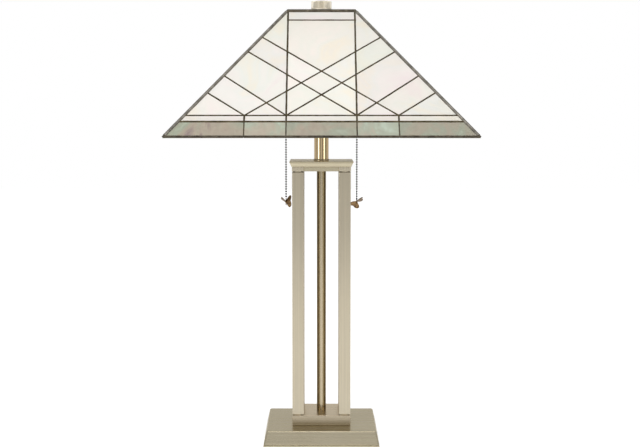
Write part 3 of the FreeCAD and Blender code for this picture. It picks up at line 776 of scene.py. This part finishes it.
def addPanes(whole, place, wanted, draw):  # the wanted panes of a panel, each a flat solid with its own tint and painted side shade
    bm = cutPanel()
    bmesh.ops.delete(bm, geom=[f for f in bm.faces if not wanted(f.calc_center_median())], context="FACES")
    tintAndShade = bm.loops.layers.float_color.new("tintAndShade")
    bmesh.ops.split_edges(bm, edges=bm.edges[:])
    panes = bm.faces[:]
    for pane in panes:
        middle = pane.calc_center_median()
        inside = abs(middle.x) < leading["innerUpright"]
        name = "centre" if inside else "wing"
        if middle.y > leading["head"] and inside:
            name = "head"
        elif middle.y < leading["band"]:
            name = "bandPale" if not inside and abs(middle.x) < leading["outerUpright"] else "band"
        elif middle.y < leading["strip"]:
            name = "strip"
        base = paneTints[name]
        # painted shade: panes grow darker towards each panel's right-hand side, plus a random tone
        level = 1 - paneTints["paintedSideShade"] * (middle.x / shadeLook["lowHalf"] + draw.random())
        shift = [level + draw.uniform(-1, 1) * paneTints["spread"] for _ in range(3)]
        for loop in pane.loops:
            loop[tintAndShade] = (base[0] * shift[0], base[1] * shift[1], base[2] * shift[2], 1.0)
    ring = bmesh.ops.inset_individual(bm, faces=panes, thickness=shadeLook["paneGap"])["faces"]
    bmesh.ops.delete(bm, geom=ring, context="FACES")
    inset = (shadeLook["cameThick"] - shadeLook["glassThick"]) / 2
    grown = bmesh.ops.extrude_face_region(bm, geom=bm.faces[:], use_keep_orig=True)["geom"]
    deep = {g for g in grown if isinstance(g, bmesh.types.BMVert)}
    bmesh.ops.translate(bm, verts=[v for v in bm.verts if v not in deep], vec=(0, 0, -inset))
    bmesh.ops.translate(bm, verts=list(deep), vec=(0, 0, -inset - shadeLook["glassThick"]))
    bmesh.ops.recalc_face_normals(bm, faces=bm.faces)
    addMesh(whole, bm, place)


def makePanes():
    draw = random.Random(7)
    band, strip = leading["band"], leading["strip"]
    kinds = [("opalPanes_", lambda at: at.y > strip, opalGlass, "field_glass_", "opal_glass"),
             ("stripPanes_", lambda at: band < at.y < strip, stripGlass, "border_glass_", "mottled_glass"),
             ("bandPanes_", lambda at: at.y < band, mottledGlass, "border_glass_", "mottled_glass")]
    for quarter, side in enumerate(sides):
        for prefix, wanted, material, node, slot in kinds:
            bm = bmesh.new()
            addPanes(bm, panelPlace(quarter), wanted, draw)
            finishPiece(prefix + side, bm, material, "shade", [node + side])


def addRod(bm, place, length, thick, wide, segments, cuts):  # a rod along place's Z, cut across for ruffling
    made = bmesh.ops.create_cone(bm, cap_ends=True, segments=segments, radius1=1, radius2=1, depth=length,
                                 matrix=place @ Matrix.Diagonal((thick / 2, wide / 2, 1, 1)))["verts"]
    long = [edge for edge in edgesOf(made) if edge.calc_length() > length * 0.9]
    bmesh.ops.subdivide_edges(bm, edges=long, cuts=cuts)


def ruffle(bm, seed, fine, deep):  # the slight unevenness of hand-run solder
    for vert in bm.verts:
        vert.co += noise.noise_vector(vert.co * fine + seed) * deep


def addBead(bm, start, end, wide, thick):  # a half-melted bead of solder along one line
    along = end - start
    turn = Matrix.Rotation(math.atan2(along.y, along.x), 4, "Z") @ Matrix.Rotation(math.radians(90), 4, "Y")
    middle = (start + end) / 2
    place = Matrix.Translation((middle.x, middle.y, -shadeLook["cameThick"] / 2)) @ turn
    addRod(bm, place, along.length, thick, wide, 10, max(1, int(along.length / shadeLook["beadStep"])))


def addJoint(bm, at, wide, thick):  # the rounded joint where lines cross
    place = Matrix.Translation((at.x, at.y, -shadeLook["cameThick"] / 2))
    bmesh.ops.create_uvsphere(bm, u_segments=10, v_segments=6, radius=0.5,
                              matrix=place @ Matrix.Diagonal((wide, wide, thick, 1)))


def lineShare(start, end):  # the lines between the band's panes are finer, and the one along its top is wider
    if min(start.y, end.y) < leading["band"] / 2:
        return shadeLook["lineShares"]["inBand"]
    if max(start.y, end.y) < leading["band"] + 0.0001:
        return shadeLook["lineShares"]["bandTop"]
    return 1.0


def makeSolder():
    look = shadeLook
    wide, thick = look["lineWide"], look["beadThick"]
    for quarter, side in enumerate(sides):
        flat = cutPanel()
        bm = bmesh.new()
        for edge in flat.edges:
            if not edge.is_boundary:
                start, end = (vert.co for vert in edge.verts)
                addBead(bm, start, end, wide * lineShare(start, end), thick)
        for vert in flat.verts:
            if not vert.is_boundary:
                addJoint(bm, vert.co, wide * look["jointWide"], thick * look["jointThick"])
        flat.free()
        for vert in bm.verts:  # the lines end behind the rims
            vert.co.y = min(max(vert.co.y, look["lowRimHigh"]), slant - look["linesBelowTop"])
        ruffle(bm, Vector((quarter * 3.7, 0, 0)), *look["ruffle"])
        bmesh.ops.transform(bm, verts=bm.verts, matrix=panelPlace(quarter))
        bmesh.ops.recalc_face_normals(bm, faces=bm.faces)
        finishPiece("solderLines_" + side, bm, solder, "shade", ["came_net_" + side], 50)


def rimRing(up0, up1, out0, out1, bevel):  # four mitred lengths of came as one closed ring
    def corner(up, out):
        half = shadeLook["lowHalf"] - slopeCos * up + slopeSin * out
        return half, shadeZ + slopeSin * up + slopeCos * out

    bm = bmesh.new()
    section = [corner(up0, out0), corner(up0, out1), corner(up1, out1), corner(up1, out0)]
    rings = []
    for signX, signY in ((1, -1), (1, 1), (-1, 1), (-1, -1)):
        rings.append([bm.verts.new((signX * half, signY * half, z)) for half, z in section])
    long = []
    for i, ring in enumerate(rings):
        following = rings[(i + 1) % 4]
        for k in range(4):
            bm.faces.new((ring[k], ring[(k + 1) % 4], following[(k + 1) % 4], following[k]))
            long.append((ring[k], following[k]))
        long.append((ring[1], ring[2]))
    bmesh.ops.recalc_face_normals(bm, faces=bm.faces)
    bevelEdges(bm, [bm.edges.get(pair) for pair in long], bevel, 3)
    return bm


def makeRims():
    look = shadeLook
    out0, out1 = -look["cameThick"] - look["rimProud"], look["rimProud"]
    low = rimRing(-look["rimProud"], look["lowRimHigh"], -look["lowRimDeep"], out1, look["lowRimBevel"])
    finishPiece("lowRim", low, rimCame, "shade", ["low_rim"])
    top = rimRing(slant - look["topRimHigh"], slant - look["topRimGap"], out0, out1, look["topRimBevel"])
    finishPiece("topRim", top, rimCame, "shade", ["top_rim"])


def makeHipCames():
    look = shadeLook
    inward = look["cameThick"] / 2 / slopeSin
    low, top = look["lowHalf"] - inward, look["topHalf"] - inward
    start, end = Vector((low, -low, shadeZ)), Vector((top, -top, shadeTop))
    along = (end - start).normalized()
    start, end = start + along * look["hipFoot"], end - along * look["hipTop"]
    place = Matrix.Translation((start + end) / 2) @ along.to_track_quat("Z", "Y").to_matrix().to_4x4()
    wide = look["hipRadius"] * 2
    whole = bmesh.new()
    for quarter in range(4):
        bm = bmesh.new()
        addRod(bm, place, (end - start).length, wide, wide, 20, 40)
        ruffle(bm, Vector((quarter, 0, 0)), *look["hipRuffle"])
        addMesh(whole, bm, Matrix.Rotation(math.radians(90 * quarter), 4, "Z"))
    bmesh.ops.recalc_face_normals(whole, faces=whole.faces)
    finishPiece("hipCames", whole, hipCame, "shade", ["hip_cames"], 50)


# Finial: smooth flange, fluted drum, chamfered crown; and the washer under it

finialLook = {"flutes": 48, "fluteDeep": 0.00085, "flangeHigh": 0.0046, "drumIn": 0.0003, "bore": 0.0033,
              "crown": [(0.0008, 1.0), (0.0002, 0.955), (0.0, 0.935)],  # below the top, share of the width
              "washerBore": 0.0036, "washerBevel": 0.0002}


def makeFinial():
    look = finialLook
    low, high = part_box("finial")
    flange, bore = high.x, look["bore"]
    drum = flange - look["drumIn"]
    deck = low.z + look["flangeHigh"]
    bm = bmesh.new()
    outline = [(bore, low.z), (flange - 0.0004, low.z), (flange, low.z + 0.0004), (flange, deck - 0.0006),
               (flange - 0.0006, deck), (drum - 0.0016, deck + 0.0002), (bore, deck + 0.0002)]
    addMesh(bm, lathe(outline, 96))
    made = bmesh.ops.create_circle(bm, cap_ends=True, radius=drum, segments=look["flutes"] * 4,
                                   matrix=Matrix.Translation((0, 0, deck)))["verts"]
    for vert in made:
        turn = math.atan2(vert.co.y, vert.co.x) * look["flutes"]
        shrink = 1 - look["fluteDeep"] / drum * (0.5 + 0.5 * math.cos(turn))
        vert.co.x *= shrink
        vert.co.y *= shrink
    face = made[0].link_faces[0]
    for drop, shrink in look["crown"]:
        grown = bmesh.ops.extrude_face_region(bm, geom=[face])["geom"]
        bmesh.ops.delete(bm, geom=[face], context="FACES_ONLY")
        face = [g for g in grown if isinstance(g, bmesh.types.BMFace)][0]
        for vert in face.verts:
            vert.co = Vector((vert.co.x * shrink, vert.co.y * shrink, high.z - drop))
    bmesh.ops.recalc_face_normals(bm, faces=bm.faces)
    finishPiece("flutedFinial", bm, metal["finialNickel"], "finial", ["finial"], 24)


def makeWasher():
    low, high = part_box("finial_washer")
    bore, soft = finialLook["washerBore"], finialLook["washerBevel"]
    outline = [(bore, low.z), (high.x - soft, low.z), (high.x, low.z + soft), (high.x, high.z - soft),
               (high.x - soft, high.z), (bore, high.z)]
    finishPiece("finialWasher", lathe(outline, 72), metal["finialNickel"], "shade", ["finial_washer"])


makeBase()
makeColumn()
makeTubes()
print("base and column made")
makeHolders()
makeChains()
makeCharms()
print("lamp holders, chains and charms made")
makePanes()
makeSolder()
makeRims()
makeHipCames()
makeFinial()
makeWasher()
print("shade made")


# Pieces that keep the frame's own shape, mostly inside: each gets its own finish

keptFinishes = {
    "base_weight": castIron, "base_washer": metal["zincSteel"], "base_nut": metal["zincSteel"],
    "lamp_rod": metal["zincSteel"], "arm_nipples": metal["zincSteel"], "riser_rod": metal["zincSteel"],
    "riser_collar": metal["zincSteel"], "lamp_leads": blackPlastic, "shade_cap": rimCame,
    "socket_insulator_left": blackPlastic, "socket_insulator_right": blackPlastic,
    "screw_shell_left": metal["lampBrass"], "screw_shell_right": metal["lampBrass"],
}
for node, material in keptFinishes.items():
    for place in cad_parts[node].material_slots:
        place.material = material


# Studio: white floor and surroundings, soft lights, camera

studio = {"floorSize": 12.0, "floorTone": (0.84, 0.84, 0.84, 1), "cameraGlow": 0.62, "glossyGlow": 0.34,
          "topTone": (0.56, 0.56, 0.56, 1), "overhead": (0.25, 0.85)}
roomTones = [(0.0, 0.72), (0.30, 0.70), (0.50, 0.50), (0.75, 0.40), (0.88, 0.24), (0.955, 0.20),
             (0.975, 0.24), (0.99, 0.62), (1.0, 0.68)]  # brightness from behind the lamp round to its front
lamps = [
    {"name": "softLeft", "place": (-1.75, -1.75, 1.05), "aim": (0, 0, 0.4), "size": (0.8, 1.7), "power": 15},
    {"name": "softRight", "place": (1.75, -1.75, 1.05), "aim": (0, 0, 0.4), "size": (0.6, 1.7), "power": 11},
    {"name": "softTop", "place": (0, -0.6, 2.3), "aim": (0, 0, 0.4), "size": (1.0, 1.0), "power": 9.5},
    {"name": "softHigh", "place": (0, -1.6, 2.6), "aim": (0, 0, 0.2), "size": (1.0, 1.0), "power": 5.5},
]
cameraSetup = {"place": (-0.002, -2.083, 0.493), "pitchDown": 4.8285, "lens": 82.24}


def scaleOn(tree, source, factor, operation="MULTIPLY"):
    scaled = tree.nodes.new("ShaderNodeMath")
    scaled.operation = operation
    scaled.inputs[1].default_value = factor
    tree.links.new(source, scaled.inputs[0])
    return scaled


def makeFloor():
    bm = bmesh.new()
    bmesh.ops.create_grid(bm, x_segments=1, y_segments=1, size=studio["floorSize"] / 2,
                          matrix=Matrix.Translation((0, 0, -0.0003)))  # just under the felt
    mesh = bpy.data.meshes.new("floor")
    bm.to_mesh(mesh)
    bm.free()
    material, tree, shader = newMaterial("floorPaper")
    shader.inputs["Base Color"].default_value = studio["floorTone"]
    setSockets(shader, roughness=0.9, specular=0.1)
    path = tree.nodes.new("ShaderNodeLightPath")
    glossy = scaleOn(tree, path.outputs["Is Glossy Ray"], studio["glossyGlow"])
    glow = scaleOn(tree, path.outputs["Is Camera Ray"], studio["cameraGlow"], "MULTIPLY_ADD")
    tree.links.new(glossy.outputs[0], glow.inputs[2])
    shader.inputs["Emission Color"].default_value = (1, 1, 1, 1)
    tree.links.new(glow.outputs[0], shader.inputs["Emission Strength"])
    mesh.materials.append(material)
    floor = bpy.data.objects.new("floor", mesh)
    scene.collection.objects.link(floor)


def makeWorld():
    world = bpy.data.worlds.new("studio")
    scene.world = world
    world.use_nodes = True
    tree = world.node_tree
    background = tree.nodes["Background"]
    place = tree.nodes.new("ShaderNodeTexCoord")
    flatWay = tree.nodes.new("ShaderNodeVectorMath")
    flatWay.operation = "MULTIPLY"
    flatWay.inputs[1].default_value = (1, 1, 0)
    tree.links.new(place.outputs["Generated"], flatWay.inputs[0])
    heading = tree.nodes.new("ShaderNodeVectorMath")
    heading.operation = "NORMALIZE"
    tree.links.new(flatWay.outputs[0], heading.inputs[0])
    facing = tree.nodes.new("ShaderNodeSeparateXYZ")
    tree.links.new(heading.outputs[0], facing.inputs[0])
    turn = rangeOn(tree, facing.outputs["Y"], 0, 1, 1, -1)
    room = rampOn(tree, turn, [(at, (level, level, level, 1)) for at, level in roomTones])
    split = tree.nodes.new("ShaderNodeSeparateXYZ")
    tree.links.new(place.outputs["Generated"], split.inputs[0])
    overhead = rangeOn(tree, split.outputs["Z"], 0, 1, *studio["overhead"])
    overhead.node.interpolation_type = "SMOOTHSTEP"
    room = mixColours(tree, overhead, room, studio["topTone"])
    path = tree.nodes.new("ShaderNodeLightPath")
    shown = mixColours(tree, path.outputs["Is Camera Ray"], room, (1, 1, 1, 1))
    tree.links.new(shown, background.inputs["Color"])


def makeLamps():
    for lamp in lamps:
        light = bpy.data.lights.new(lamp["name"], "AREA")
        light.shape = "RECTANGLE"
        light.size, light.size_y = lamp["size"]
        light.energy = lamp["power"]
        holder = bpy.data.objects.new(lamp["name"], light)
        holder.location = lamp["place"]
        aim = Vector(lamp["aim"]) - Vector(lamp["place"])
        holder.rotation_euler = aim.to_track_quat("-Z", "Y").to_euler()
        scene.collection.objects.link(holder)


def makeCamera():
    lens = bpy.data.cameras.new("camera")
    lens.lens = cameraSetup["lens"]
    lens.clip_start = 0.05
    camera = bpy.data.objects.new("camera", lens)
    camera.location = cameraSetup["place"]
    camera.rotation_euler = (math.radians(90 - cameraSetup["pitchDown"]), 0, 0)
    scene.collection.objects.link(camera)
    bpy.context.scene.camera = camera


makeFloor()
makeWorld()
makeLamps()
makeCamera()
bpy.context.scene.view_settings.view_transform = "Standard"
print("studio ready")
